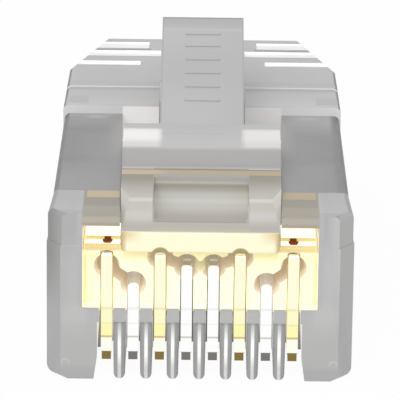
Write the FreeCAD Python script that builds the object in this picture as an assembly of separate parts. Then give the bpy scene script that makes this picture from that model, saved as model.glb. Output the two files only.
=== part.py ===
import FreeCAD, Part
import math
import os

# An eight-way modular plug, contacts down and latch up, nose towards -Y.
# Lengths are millimetres. Depths are counted back from the nose face, heights up from the foot.

# Body
LENGTH = 21.46
NOSE_FACE_WIDTH = 10.60
NOSE_WIDTH = 11.68
NOSE_BEVEL = 0.60
SHOULDER_START = 2.74
SHOULDER_WIDTH = 11.44
SHOULDER_HEIGHT = 6.70
REAR_START = 12.10
WAIST_WIDTH = 11.24
REAR_WIDTH = 11.36
REAR_HEIGHT = 7.06
RIDGE_START = 14.48
RIDGE_RISE = 0.05
TAIL_WIDTH = 11.04
TAIL_HEIGHT = 6.98
PARTING_HEIGHT = 5.40
PARTING_STEP = 0.05
FOOT_RADIUS = 0.42
FOOT_TRIM = 0.02
EDGE_RADIUS = 0.25

# Bevel that cuts each upper rear corner
CORNER_LENGTH = 4.50
CORNER_WIDTH = 1.50
CORNER_DROP = 1.40

# Grip grooves across the rear roof: where each starts, how long it is, and its inner end
GRIP_GROOVES = ((17.54, 0.60, 2.60), (18.89, 0.81, 1.76), (20.06, 0.90, 2.28))
GRIP_DEPTH = 0.06

# Contacts
WAYS = 8
PITCH = 1.016
BLADE_THICKNESS = 0.42
BLADE_FRONT = 0.42
BLADE_LENGTH = 3.45
BLADE_FOOT = 0.61
BLADE_SHOULDER = 3.00
BLADE_CORNER = 0.36
FOOT_SLANT = 0.08
FOOT_THICKNESS = 0.35
TINE_REACH = 0.55
TINE_TIP = 0.24
TINE_RADIUS = 0.10
TIP_ROUNDING = 0.16
TINE_THICKNESS = 0.30
TALL_TIP = 4.96
HIGH_TIP = 4.95
MIDDLE_TIP = 4.46
LOW_TIP = 3.71
REAR_TINE_DROP = 0.35
SLOT_CLEARANCE = 0.07
SLOT_END_CLEARANCE = 0.12

# Comb of ribs between the contacts
RIB_GAP = 0.516
RIB_TIP_GAP = 0.586
RIB_SETBACK = 0.08
RIB_ROUNDING = 0.92
POCKET_HEIGHT = 2.34
POCKET_SIDE = 0.35
POCKET_END = 3.30
POCKET_FLARE = 0.13
POCKET_FLARE_HEIGHT = 0.90

# Load bar and its chamber
BAR_FRONT = 0.60
BAR_LENGTH = 6.00
BAR_WIDTH = 8.82
BAR_TOP = 5.00
CROWN_WIDTH = 5.90
CROWN_TOP = 5.24
BAR_FLOOR = 2.60
BAR_CLEARANCE = 0.04
BAR_LIP_LENGTH = 0.32
BAR_GROOVE_END = 1.37
BAR_GROOVE_DEPTH = 0.14
BAR_RIDGE_END = 1.92
BAR_NOTCH_END = 2.20
BAR_NOTCH_DEPTH = 0.10
SILL_TOP = 2.91
HOLE_RADIUS = 0.40
HOLE_MOUTH_RADIUS = 0.50
HOLE_MOUTH_DEPTH = 0.35
HOLE_HEIGHTS = (4.40, 3.69, 4.79, 4.41)
NECK_WIDTH = 0.46
DIMPLE_RADIUS = 0.17
DIMPLE_DEPTH = 0.60
DIMPLE_AT = 1.80
FUNNEL = 0.12

# Window in the nose
WINDOW_WIDTH = 8.94
WINDOW_TOP = 6.22
WINDOW_DEPTH = 3.60

# Channel under the latch, and the groove behind it that the pressed tab sinks into
CHANNEL_REAR_GAP = 0.16
CHANNEL_WALL = 0.30
TAB_CLEARANCE = 0.10
GROOVE_REACH = 0.85
GROOVE_FLOOR = 6.12

# Cable cavity
CAVITY_WIDTH = 9.30
CAVITY_FLOOR = 0.60
CAVITY_TOP = 5.80
CAVITY_START = 14.40
CAVITY_RADIUS = 0.60
THROAT_DEPTH = 8.60
THROAT_FLOOR = 2.40
MOUTH_FLARE = 0.25

# Strain relief bar in the floor
WELL_START = 10.00
WELL_LENGTH = 3.30
WELL_WIDTH = 7.40
RELIEF_GAP = 0.22
RELIEF_HEIGHT = 1.55
RELIEF_NOSE = 0.80
RELIEF_WEB_HEIGHT = 0.10
WEB_THICKNESS = 0.25
WEB_HEIGHT = 0.85

# Latch
LATCH_WIDTH = 6.12
LATCH_NOSE_WIDTH = 6.00
LATCH_TAPER = 2.00
LATCH_SIDE_CLEARANCE = 0.05
LATCH_LIP_FOOT = 5.14
LIP_CLEARANCE = 0.09
LATCH_FACE_RISE = 0.13
LATCH_BROW_DEPTH = 1.00
LATCH_BROW_RISE = 1.21
LATCH_LEDGE_DEPTH = 4.12
LATCH_LEDGE_RISE = 1.30
BLOCK_FRONT_RISE = 2.10
BLOCK_END = 7.20
BLOCK_RISE = 2.11
BLOCK_ROUNDING = 0.12
TAB_WIDTH = 3.30
TAB_END = 14.55
TAB_TIP_RISE = 4.19
TAB_BEND_BACK = 0.60
TAB_BEND_RISE = 0.06
TAB_TIP_THICKNESS = 0.62
TAB_OVERLAP = 1.20
UNDER_RISE_ANGLE = 13.5
LIP_SETBACK = 0.06
LIP_EDGE_RADIUS = 0.10
LIP_CORNER_RADIUS = 0.30
FACE_RADIUS = 0.30
BROW_RADIUS = 0.20
BROW_CORNER_WIDTH = 0.33
BROW_CORNER_LENGTH = 1.05
LIP_FRONT_RADIUS = 0.12
BLOCK_FRONT_SLANT = 0.22

# Scoop that thins the latch's brow
SCOOP_WIDTH = 3.64
SCOOP_START = 0.22
SCOOP_END = 3.44
SCOOP_FLOOR_RISE = 0.42
SCOOP_TOE = 0.35
SCOOP_TOE_RISE = 0.06
SCOOP_TOE_RADIUS = 0.20
SCOOP_HEEL = 0.85
SCOOP_HEEL_RISE = 0.14
SCOOP_HEEL_RADIUS = 0.90
SCOOP_BACK = 0.25
SCOOP_CORNER_RADIUS = 0.15

# Root of the latch. Its rises above are counted from the root's centre
ROOT_DEPTH = 1.14
ROOT_RADIUS = 0.36
ROOT_CLEARANCE = 0.05
SEAT_WALL = 0.13

# Heights that follow from those above
CHAMBER_TOP = CROWN_TOP + BAR_CLEARANCE
CHANNEL_FLOOR = CHAMBER_TOP + CHANNEL_WALL
ROOT_HEIGHT = CHAMBER_TOP + SEAT_WALL + ROOT_CLEARANCE + ROOT_RADIUS
LATCH_FACE_TOP = ROOT_HEIGHT + LATCH_FACE_RISE
LATCH_BROW = ROOT_HEIGHT + LATCH_BROW_RISE
LATCH_LEDGE = ROOT_HEIGHT + LATCH_LEDGE_RISE
BLOCK_FRONT_HEIGHT = ROOT_HEIGHT + BLOCK_FRONT_RISE
BLOCK_HEIGHT = ROOT_HEIGHT + BLOCK_RISE
TAB_TIP_HEIGHT = ROOT_HEIGHT + TAB_TIP_RISE
SCOOP_LOWEST = ROOT_HEIGHT + SCOOP_FLOOR_RISE

# How far cutting shapes run past what they cut
OVERRUN = 1.0
SLOT_OVERRUN = 0.25


def spot(x, depth, height):
    """The point at a distance from the middle plane, a depth and a height."""
    return FreeCAD.Vector(x, depth - LENGTH / 2, height)


def outline(corners, place):
    """A closed wire through flat corners. A corner's third number is the radius that rounds it."""
    flat = [FreeCAD.Vector(corner[0], corner[1], 0) for corner in corners]
    arrivals = []
    for index, corner in enumerate(corners):
        here = flat[index]
        if len(corner) < 3:
            arrivals.append((here, None, here))
            continue
        back = (flat[index - 1] - here).normalize()
        ahead = (flat[(index + 1) % len(flat)] - here).normalize()
        half_angle = back.getAngle(ahead) / 2
        reach = corner[2] / math.tan(half_angle)
        bisector = (back + ahead).normalize()
        middle = here + bisector * (corner[2] / math.sin(half_angle) - corner[2])
        arrivals.append((here + back * reach, middle, here + ahead * reach))
    edges = []
    for index, (start, middle, end) in enumerate(arrivals):
        if middle is not None:
            through = [place(point.x, point.y) for point in (start, middle, end)]
            edges.append(Part.Arc(through[0], through[1], through[2]).toShape())
        following = arrivals[(index + 1) % len(arrivals)][0]
        edges.append(Part.LineSegment(place(end.x, end.y), place(following.x, following.y)).toShape())
    return Part.Wire(edges)


def side_profile(corners, low_x, high_x):
    """A side view of (depth, height) corners, extruded across the width."""
    wire = outline(corners, lambda depth, height: spot(low_x, depth, height))
    return Part.Face(wire).extrude(FreeCAD.Vector(high_x - low_x, 0, 0))


def front_profile(corners, front, back):
    """A front view of (x, height) corners, extruded towards the rear."""
    wire = outline(corners, lambda x, height: spot(x, front, height))
    return Part.Face(wire).extrude(FreeCAD.Vector(0, back - front, 0))


def plan_profile(corners, low, high):
    """A plan of (x, depth) corners, extruded upwards."""
    wire = outline(corners, lambda x, depth: spot(x, depth, low))
    return Part.Face(wire).extrude(FreeCAD.Vector(0, 0, high - low))


def block(low_x, high_x, front, back, low, high):
    """A straight-sided block between two limits each way."""
    return Part.makeBox(high_x - low_x, back - front, high - low, spot(low_x, front, low))


def rod_along_depth(x, height, radius, front, back):
    """A round rod that runs towards the rear."""
    return Part.makeCylinder(radius, back - front, spot(x, front, height), FreeCAD.Vector(0, 1, 0))


def rod_across(depth, height, radius, low_x, high_x):
    """A round rod that runs across the width."""
    return Part.makeCylinder(radius, high_x - low_x, spot(low_x, depth, height), FreeCAD.Vector(1, 0, 0))


def contact_x(way):
    """The middle plane of a contact, counted from 1 at the low-X side."""
    return (way - (WAYS + 1) / 2) * PITCH


def level(way):
    """How far in from the nearer side a contact is: 0 for the outermost pair."""
    return min(way - 1, WAYS - way)


def body_section(depth, width, top):
    """One cross-section of the moulding, with the small step where the mould halves part."""
    low = width / 2
    high = low - PARTING_STEP
    corners = [
        (-low, -FOOT_TRIM, FOOT_RADIUS),
        (low, -FOOT_TRIM, FOOT_RADIUS),
        (low, PARTING_HEIGHT),
        (high, PARTING_HEIGHT),
        (high, top, EDGE_RADIUS),
        (-high, top, EDGE_RADIUS),
        (-high, PARTING_HEIGHT),
        (-low, PARTING_HEIGHT),
    ]
    return outline(corners, lambda x, height: spot(x, depth, height))


def outer_body():
    """The whole outside: drafted nose and shoulders, the rear step, the ridge and a flat foot."""
    front = Part.makeLoft(
        [
            body_section(0, NOSE_FACE_WIDTH, SHOULDER_HEIGHT),
            body_section(NOSE_BEVEL, NOSE_WIDTH, SHOULDER_HEIGHT),
            body_section(SHOULDER_START, SHOULDER_WIDTH, SHOULDER_HEIGHT),
            body_section(REAR_START, WAIST_WIDTH, SHOULDER_HEIGHT),
        ],
        True,
        True,
    )
    share = (RIDGE_START - REAR_START) / (LENGTH - REAR_START)
    ridge_width = REAR_WIDTH + share * (TAIL_WIDTH - REAR_WIDTH)
    middle = Part.makeLoft(
        [
            body_section(REAR_START, REAR_WIDTH, REAR_HEIGHT),
            body_section(RIDGE_START, ridge_width, REAR_HEIGHT),
        ],
        True,
        True,
    )
    tail = Part.makeLoft(
        [
            body_section(RIDGE_START, ridge_width, REAR_HEIGHT + RIDGE_RISE),
            body_section(LENGTH, TAIL_WIDTH, TAIL_HEIGHT),
        ],
        True,
        True,
    )
    below = block(-REAR_WIDTH, REAR_WIDTH, -OVERRUN, LENGTH + OVERRUN, -OVERRUN, 0)
    return front.fuse([middle, tail]).cut(below)


def beyond_plane(points, side, span):
    """All that lies within a span outside the plane through three points."""
    first = (points[1] - points[0]).normalize()
    normal = first.cross(points[2] - points[0]).normalize()
    outward = normal if normal.x * side > 0 else -normal
    second = outward.cross(first)
    centre = (points[0] + points[1] + points[2]) / 3
    square = ((-span, -span), (span, -span), (span, span), (-span, span))
    corners = [centre + first * a + second * b for a, b in square]
    face = Part.Face(Part.makePolygon(corners + corners[:1]))
    return face.extrude(outward * span)


def corner_bevel(side):
    """What the bevel takes off one upper rear corner."""
    along = spot(side * TAIL_WIDTH / 2, LENGTH - CORNER_LENGTH, TAIL_HEIGHT)
    inward = spot(side * (TAIL_WIDTH / 2 - CORNER_WIDTH), LENGTH, TAIL_HEIGHT)
    down = spot(side * TAIL_WIDTH / 2, LENGTH, TAIL_HEIGHT - CORNER_DROP)
    return beyond_plane((along, inward, down), side, CORNER_LENGTH * 2)


def grip_grooves():
    """Shallow grooves that run from beside the tab out through the corner bevels."""
    cuts = []
    floor = TAIL_HEIGHT - GRIP_DEPTH
    for start, length, inner in GRIP_GROOVES:
        for side in (-1, 1):
            ends = sorted((side * inner, side * REAR_WIDTH))
            cuts.append(block(ends[0], ends[1], start, start + length, floor, floor + OVERRUN))
    return cuts


def cable_cavity():
    """The way in for the cable, narrowing to the throat behind the load bar."""
    def opening(depth, width, low, high, radius):
        half = width / 2
        corners = [(-half, low, radius), (half, low, radius), (half, high, radius), (-half, high, radius)]
        return outline(corners, lambda x, height: spot(x, depth, height))

    throat_width = BAR_WIDTH + 2 * BAR_CLEARANCE
    straight = opening(CAVITY_START, CAVITY_WIDTH, CAVITY_FLOOR, CAVITY_TOP, CAVITY_RADIUS)
    mouth = opening(LENGTH - MOUTH_FLARE, CAVITY_WIDTH, CAVITY_FLOOR, CAVITY_TOP, CAVITY_RADIUS)
    flared = opening(
        LENGTH,
        CAVITY_WIDTH + 2 * MOUTH_FLARE,
        CAVITY_FLOOR - MOUTH_FLARE,
        CAVITY_TOP,
        CAVITY_RADIUS,
    )
    throat = opening(THROAT_DEPTH, throat_width, THROAT_FLOOR, CHAMBER_TOP, CAVITY_RADIUS / 2)
    return Part.makeLoft([throat, straight, mouth, flared], True, True)


def bar_chamber():
    """The straight chamber that the load bar slides into from behind."""
    half = BAR_WIDTH / 2 + BAR_CLEARANCE
    crown = CROWN_WIDTH / 2 + BAR_CLEARANCE
    front = BAR_FRONT - BAR_CLEARANCE
    back = THROAT_DEPTH + CAVITY_RADIUS
    wide = block(-half, half, front, back, BAR_FLOOR, BAR_TOP + BAR_CLEARANCE)
    return wide.fuse(block(-crown, crown, front, back, BAR_FLOOR, CHAMBER_TOP))


def nose_window():
    """The opening in the nose, with the two taller wings beside the latch."""
    half = WINDOW_WIDTH / 2
    inner = LATCH_NOSE_WIDTH / 2 + LATCH_SIDE_CLEARANCE
    cuts = [block(-half, half, -OVERRUN, BAR_FRONT, SILL_TOP, BAR_TOP + BAR_CLEARANCE)]
    for side in (-1, 1):
        ends = sorted((side * inner, side * half))
        cuts.append(block(ends[0], ends[1], -OVERRUN, WINDOW_DEPTH, BAR_TOP, WINDOW_TOP))
    return cuts


def channel_run(back, low, high):
    """The channel up to a depth. Its sides follow the latch at the nose and open out behind it."""
    nose = LATCH_NOSE_WIDTH / 2 + LATCH_SIDE_CLEARANCE
    middle = LATCH_WIDTH / 2 + LATCH_SIDE_CLEARANCE
    rear = LATCH_WIDTH / 2 + CHANNEL_REAR_GAP
    corners = [
        (-nose, -OVERRUN),
        (nose, -OVERRUN),
        (nose, 0),
        (middle, LATCH_TAPER),
        (rear, REAR_START),
        (-rear, REAR_START),
        (-middle, LATCH_TAPER),
        (-nose, 0),
    ]
    whole = plan_profile(corners, low, high)
    return whole.common(block(-REAR_WIDTH, REAR_WIDTH, -OVERRUN, back, low, high))


def latch_channel():
    """The channel under the latch, the groove under its tab, and the seat for the latch's root."""
    groove = TAB_WIDTH / 2 + TAB_CLEARANCE
    roof = REAR_HEIGHT + OVERRUN
    run = channel_run(REAR_START, CHANNEL_FLOOR, roof)
    groove_end = TAB_END + GROOVE_REACH
    rear_run = block(-groove, groove, REAR_START - OVERRUN, groove_end, GROOVE_FLOOR, roof)
    front_gap = channel_run(ROOT_DEPTH, BAR_TOP, roof)
    room = ROOT_RADIUS + ROOT_CLEARANCE
    knuckle_room = rod_across(ROOT_DEPTH, ROOT_HEIGHT, room, -REAR_WIDTH, REAR_WIDTH)
    seat = knuckle_room.common(channel_run(REAR_START, BAR_TOP, roof))
    return [run, rear_run, front_gap, seat]


def contact_slots():
    """The pocket below the contacts and one slot for each blade up to the load bar."""
    slot_end = BLADE_FRONT + BLADE_LENGTH + SLOT_END_CLEARANCE
    side = contact_x(WAYS) + POCKET_SIDE
    flared = side + POCKET_FLARE
    section = [
        (-flared, -OVERRUN),
        (flared, -OVERRUN),
        (flared, 0),
        (side, POCKET_FLARE_HEIGHT),
        (side, POCKET_HEIGHT),
        (-side, POCKET_HEIGHT),
        (-side, POCKET_FLARE_HEIGHT),
        (-flared, 0),
    ]
    cuts = [front_profile(section, -OVERRUN, POCKET_END)]
    half = BLADE_THICKNESS / 2 + SLOT_CLEARANCE
    high = SILL_TOP + SLOT_OVERRUN
    for way in range(1, WAYS + 1):
        x = contact_x(way)
        cuts.append(block(x - half, x + half, -OVERRUN, slot_end, -OVERRUN, high))
    return cuts


def rib(x):
    """One rib of the comb: tapered, round at its tip and along its front."""
    half = (PITCH - RIB_GAP) / 2
    tip = (PITCH - RIB_TIP_GAP) / 2
    back = POCKET_END + RIB_SETBACK
    top = POCKET_HEIGHT + (BAR_FLOOR - POCKET_HEIGHT) / 2
    section = [
        (x - half, top),
        (x - tip, 0, tip * RIB_ROUNDING),
        (x + tip, 0, tip * RIB_ROUNDING),
        (x + half, top),
    ]
    tapered = front_profile(section, RIB_SETBACK, back)
    plan = [
        (x - half, RIB_SETBACK, half * RIB_ROUNDING),
        (x + half, RIB_SETBACK, half * RIB_ROUNDING),
        (x + half, back),
        (x - half, back),
    ]
    return tapered.common(plan_profile(plan, -OVERRUN, top))


def relief_well():
    """The opening in the floor that the strain relief bar is pressed through."""
    half = WELL_WIDTH / 2
    return block(-half, half, WELL_START, WELL_START + WELL_LENGTH, -OVERRUN, THROAT_FLOOR)


def relief_bar():
    """The strain relief bar, moulded in its well and held by a hinge web and two thin side webs."""
    front = WELL_START + RELIEF_GAP
    back = WELL_START + WELL_LENGTH - RELIEF_GAP
    half = WELL_WIDTH / 2 - RELIEF_GAP
    profile = [
        (front, WEB_HEIGHT - WEB_THICKNESS),
        (front + RELIEF_NOSE, 0.0),
        (back, 0.0),
        (back, RELIEF_HEIGHT),
        (back - RELIEF_NOSE, RELIEF_HEIGHT),
        (front, WEB_HEIGHT),
    ]
    bar = side_profile(profile, -half, half)
    web_low = WEB_HEIGHT - WEB_THICKNESS
    hinge = block(-half, half, WELL_START - WEB_THICKNESS, front + WEB_THICKNESS, web_low, WEB_HEIGHT)
    pieces = [bar, hinge]
    reach = RELIEF_GAP + WEB_THICKNESS
    low = RELIEF_WEB_HEIGHT
    high = RELIEF_WEB_HEIGHT + WEB_THICKNESS
    web_back = back - WEB_THICKNESS
    for side in (-1, 1):
        ends = sorted((side * (half - WEB_THICKNESS), side * (half + reach)))
        pieces.append(block(ends[0], ends[1], web_back - WEB_THICKNESS, web_back, low, high))
    return pieces


def housing():
    """The clear moulding that holds everything."""
    cuts = [corner_bevel(-1), corner_bevel(1)]
    cuts += grip_grooves()
    cuts += latch_channel()
    cuts += nose_window()
    cuts += [bar_chamber(), cable_cavity(), relief_well()]
    cuts += contact_slots()
    shell = outer_body()
    for cut in cuts:
        shell = shell.cut(cut)
    ribs = [rib((contact_x(way) + contact_x(way + 1)) / 2) for way in range(1, WAYS)]
    return shell.fuse(ribs + relief_bar())


def tip_height(way):
    """How high a contact's front tine stands, which follows the height of its conductor's hole."""
    return (TALL_TIP, LOW_TIP, HIGH_TIP, MIDDLE_TIP)[level(way)]


def contact(way):
    """One insulation-piercing blade: three tines above, and a narrower foot where it was cut free."""
    x = contact_x(way)
    half = BLADE_THICKNESS / 2
    front = BLADE_FRONT
    back = BLADE_FRONT + BLADE_LENGTH
    tip = tip_height(way)
    rear_tip = tip - REAR_TINE_DROP
    valley = max(BLADE_SHOULDER, rear_tip - TINE_REACH * 2)
    spacing = (BLADE_LENGTH - TINE_TIP) / 2
    profile = [
        (front + FOOT_SLANT, BLADE_FOOT, FOOT_SLANT / 2),
        (back - BLADE_CORNER, BLADE_FOOT, BLADE_CORNER / 2),
        (back, BLADE_FOOT + BLADE_CORNER, BLADE_CORNER / 2),
        (back, BLADE_SHOULDER - BLADE_CORNER),
        (back - TINE_TIP / 2, BLADE_SHOULDER),
        (back - TINE_TIP / 2, rear_tip - TINE_RADIUS),
        (back - TINE_TIP, rear_tip),
        (back - TINE_TIP - TINE_REACH, valley),
        (front + spacing + TINE_TIP + TINE_REACH / 2, valley),
        (front + spacing + TINE_TIP, rear_tip),
        (front + spacing, rear_tip),
        (front + spacing - TINE_REACH / 2, valley),
        (front + TINE_TIP + TINE_REACH, valley),
        (front + TINE_TIP, tip, TINE_RADIUS),
        (front, tip, TINE_RADIUS),
        (front, BLADE_FOOT + BLADE_CORNER),
    ]
    blade = side_profile(profile, x - half, x + half)
    rounded = [
        (x - half, BLADE_FOOT - OVERRUN),
        (x + half, BLADE_FOOT - OVERRUN),
        (x + half, tip, TIP_ROUNDING),
        (x - half, tip, TIP_ROUNDING),
    ]
    blade = blade.common(front_profile(rounded, front - OVERRUN, back + OVERRUN))
    thin = TINE_THICKNESS / 2
    low = BLADE_SHOULDER + BLADE_CORNER
    for side in (-1, 1):
        ends = sorted((x + side * thin, x + side * (half + SLOT_OVERRUN)))
        cheek = block(ends[0], ends[1], front + TINE_TIP, back + OVERRUN, low, tip + OVERRUN)
        ends = sorted((x + side * FOOT_THICKNESS / 2, x + side * (half + SLOT_OVERRUN)))
        step = block(ends[0], ends[1], front - OVERRUN, back + OVERRUN, 0, BLADE_FOOT + BLADE_CORNER)
        blade = blade.cut([cheek, step])
    return blade


def load_bar():
    """The bar that leads the conductors to their heights, with a slot over every blade."""
    half = BAR_WIDTH / 2
    front = BAR_FRONT
    back = BAR_FRONT + BAR_LENGTH
    low_top = BAR_TOP - BAR_GROOVE_DEPTH
    notch = BAR_TOP - BAR_NOTCH_DEPTH
    profile = [
        (front, BAR_FLOOR),
        (back, BAR_FLOOR),
        (back, BAR_TOP),
        (BAR_NOTCH_END, BAR_TOP),
        (BAR_NOTCH_END, notch),
        (BAR_RIDGE_END, notch),
        (BAR_RIDGE_END, BAR_TOP),
        (BAR_GROOVE_END, BAR_TOP),
        (BAR_GROOVE_END, low_top),
        (front + BAR_LIP_LENGTH, low_top),
        (front + BAR_LIP_LENGTH, BAR_TOP),
        (front, BAR_TOP),
    ]
    bar = side_profile(profile, -half, half)
    bar = bar.fuse(block(-CROWN_WIDTH / 2, CROWN_WIDTH / 2, front, back, BAR_FLOOR, CROWN_TOP))
    cuts = []
    places = [(contact_x(way), HOLE_HEIGHTS[level(way)]) for way in range(1, WAYS + 1)]
    rearward = FreeCAD.Vector(0, 1, 0)
    for x, height in places:
        cuts.append(rod_along_depth(x, height, HOLE_RADIUS, front - OVERRUN, back + OVERRUN))
        mouth = spot(x, front, height)
        cuts.append(Part.makeCone(HOLE_MOUTH_RADIUS, HOLE_RADIUS, HOLE_MOUTH_DEPTH, mouth, rearward))
        entry = spot(x, back - FUNNEL, height)
        cuts.append(Part.makeCone(HOLE_RADIUS, HOLE_RADIUS + FUNNEL, FUNNEL, entry, rearward))
    for first in (0, 2, 3, 4, 6):
        cuts.append(neck(places[first], places[first + 1], front - OVERRUN, back + OVERRUN))
    slot_half = BLADE_THICKNESS / 2 + BAR_CLEARANCE
    slot_end = BLADE_FRONT + BLADE_LENGTH + SLOT_END_CLEARANCE
    low = BAR_FLOOR - OVERRUN
    front_end = BLADE_FRONT + TINE_TIP + TINE_REACH
    for way, (x, height) in enumerate(places, 1):
        top = tip_height(way) + SLOT_CLEARANCE
        rear_top = top - REAR_TINE_DROP
        cuts.append(block(x - slot_half, x + slot_half, front - OVERRUN, front_end, low, top))
        cuts.append(block(x - slot_half, x + slot_half, front_end, slot_end, low, rear_top))
    for way in (1, WAYS):
        foot = spot(contact_x(way), DIMPLE_AT, BAR_TOP - DIMPLE_DEPTH)
        cuts.append(Part.makeCylinder(DIMPLE_RADIUS, DIMPLE_DEPTH + OVERRUN, foot))
    for cut in cuts:
        bar = bar.cut(cut)
    return bar


def neck(start, end, front, back):
    """The narrow way that joins two neighbouring conductor holes."""
    run = FreeCAD.Vector(end[0] - start[0], end[1] - start[1], 0)
    across = FreeCAD.Vector(-run.y, run.x, 0).normalize() * (NECK_WIDTH / 2)
    corners = [
        (start[0] + across.x, start[1] + across.y),
        (start[0] - across.x, start[1] - across.y),
        (end[0] - across.x, end[1] - across.y),
        (end[0] + across.x, end[1] + across.y),
    ]
    return front_profile(corners, front, back)


def latch_side_view():
    """The latch from the side: lip, brow, ledge, block and tab."""
    rise = math.tan(math.radians(UNDER_RISE_ANGLE))
    under_start = ROOT_DEPTH + ROOT_RADIUS
    under_height = ROOT_HEIGHT
    under_end = under_height + (BLOCK_END - under_start) * rise
    bend = TAB_END - TAB_BEND_BACK
    slope = (TAB_TIP_HEIGHT - BLOCK_HEIGHT) / (TAB_END - BLOCK_END)
    front_part = [
        (LIP_SETBACK, LATCH_LIP_FOOT, LIP_EDGE_RADIUS),
        (BAR_FRONT - LIP_CLEARANCE, LATCH_LIP_FOOT, LIP_EDGE_RADIUS),
        (BAR_FRONT - LIP_CLEARANCE, CROWN_TOP + LIP_CLEARANCE),
        (ROOT_DEPTH - ROOT_RADIUS, ROOT_HEIGHT),
        (under_start, under_height),
        (BLOCK_END, under_end),
        (BLOCK_END, BLOCK_HEIGHT),
        (LATCH_LEDGE_DEPTH + BLOCK_FRONT_SLANT, BLOCK_FRONT_HEIGHT, BLOCK_ROUNDING),
        (LATCH_LEDGE_DEPTH, LATCH_LEDGE, BLOCK_ROUNDING),
        (LATCH_BROW_DEPTH, LATCH_BROW, BROW_RADIUS),
        (LIP_SETBACK, LATCH_FACE_TOP, FACE_RADIUS),
    ]
    tab = [
        (BLOCK_END - TAB_OVERLAP, under_end - TAB_OVERLAP * rise),
        (BLOCK_END, under_end),
        (TAB_END, TAB_TIP_HEIGHT - TAB_TIP_THICKNESS),
        (TAB_END, TAB_TIP_HEIGHT + TAB_BEND_RISE),
        (bend, TAB_TIP_HEIGHT - TAB_BEND_BACK * slope),
        (BLOCK_END, BLOCK_HEIGHT),
        (BLOCK_END - TAB_OVERLAP, BLOCK_HEIGHT),
    ]
    return front_part, tab


def latch_scoop():
    """The hollow that thins the latch's brow so that it can bend."""
    half = SCOOP_WIDTH / 2
    low = SCOOP_LOWEST
    corners = [
        (SCOOP_START, low + SCOOP_TOE_RISE),
        (SCOOP_START + SCOOP_TOE, low, SCOOP_TOE_RADIUS),
        (SCOOP_END - SCOOP_BACK - SCOOP_HEEL, low + SCOOP_HEEL_RISE, SCOOP_HEEL_RADIUS),
        (SCOOP_END - SCOOP_BACK, LATCH_LEDGE - SCOOP_BACK, SCOOP_TOE_RADIUS),
        (SCOOP_END, LATCH_LEDGE + OVERRUN),
        (SCOOP_START - OVERRUN, LATCH_LEDGE + OVERRUN),
    ]
    hollow = side_profile(corners, -half, half)
    high = LATCH_LEDGE + OVERRUN
    section = [
        (-half, low, SCOOP_CORNER_RADIUS),
        (half, low, SCOOP_CORNER_RADIUS),
        (half, high),
        (-half, high),
    ]
    return hollow.common(front_profile(section, -OVERRUN, LENGTH))


def brow_corner(side):
    """What the bevel takes off one corner of the brow, from its front edge back and down to the lip."""
    half = LATCH_WIDTH / 2
    slope = (LATCH_LEDGE - LATCH_BROW) / (LATCH_LEDGE_DEPTH - LATCH_BROW_DEPTH)
    back_height = LATCH_BROW + BROW_CORNER_LENGTH * slope
    inner = spot(side * (half - BROW_CORNER_WIDTH), LATCH_BROW_DEPTH, LATCH_BROW)
    back = spot(side * half, LATCH_BROW_DEPTH + BROW_CORNER_LENGTH, back_height)
    foot = spot(side * LATCH_NOSE_WIDTH / 2, LIP_SETBACK, LATCH_FACE_TOP)
    return beyond_plane((inner, back, foot), side, LATCH_LEDGE_DEPTH)


def latch():
    """The sprung latch: a wide block with its shoulders, and the narrow tab that the finger presses."""
    half = LATCH_WIDTH / 2
    front_part, tab = latch_side_view()
    body = side_profile(front_part, -half, half)
    body = body.fuse([
        rod_across(ROOT_DEPTH, ROOT_HEIGHT, ROOT_RADIUS, -half, half),
        side_profile(tab, -TAB_WIDTH / 2, TAB_WIDTH / 2),
    ])
    rounded = [
        (-half, LATCH_LIP_FOOT, LIP_CORNER_RADIUS),
        (half, LATCH_LIP_FOOT, LIP_CORNER_RADIUS),
        (half, TAB_TIP_HEIGHT + OVERRUN),
        (-half, TAB_TIP_HEIGHT + OVERRUN),
    ]
    body = body.common(front_profile(rounded, -OVERRUN, LENGTH))
    nose = LATCH_NOSE_WIDTH / 2
    plan = [
        (-nose, LIP_SETBACK, LIP_FRONT_RADIUS),
        (nose, LIP_SETBACK, LIP_FRONT_RADIUS),
        (half, LATCH_TAPER),
        (half, LENGTH),
        (-half, LENGTH),
        (-half, LATCH_TAPER),
    ]
    body = body.common(plan_profile(plan, 0, TAB_TIP_HEIGHT + OVERRUN))
    for cut in (brow_corner(-1), brow_corner(1), latch_scoop()):
        body = body.cut(cut)
    return body


def export(shape, name):
    """Write one piece, tidied and checked."""
    tidy = shape.removeSplitter()
    solids = tidy.Solids
    print(name, "solids", len(solids), "valid", tidy.isValid(), "volume %.3f" % tidy.Volume)
    whole = solids[0] if len(solids) == 1 else tidy
    whole.exportStep("parts/" + name + ".step")


def main():
    os.makedirs("parts", exist_ok=True)
    export(housing(), "housing")
    export(latch(), "latch")
    export(load_bar(), "load_bar")
    for way in range(1, WAYS + 1):
        export(contact(way), "contact_%d" % way)


main()
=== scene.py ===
# %% [markdown]
# # A clear modular plug, seen from its nose
#
# This scene dresses a small network plug. The solid pieces come ready-made and to size: a clear
# housing, a sprung latch, a cream load bar and eight contact blades. What is left to do is light
# them, give every surface its own finish, and add the few marks that are too fine for the solids.
#
# Everything is in metres, and the plug is only 21 mm long, so sizes are written in millimetres and
# multiplied by MM. The nose points towards -Y and the latch is on top.

import math

import bmesh
import bpy
from mathutils import Matrix, Vector


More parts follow.
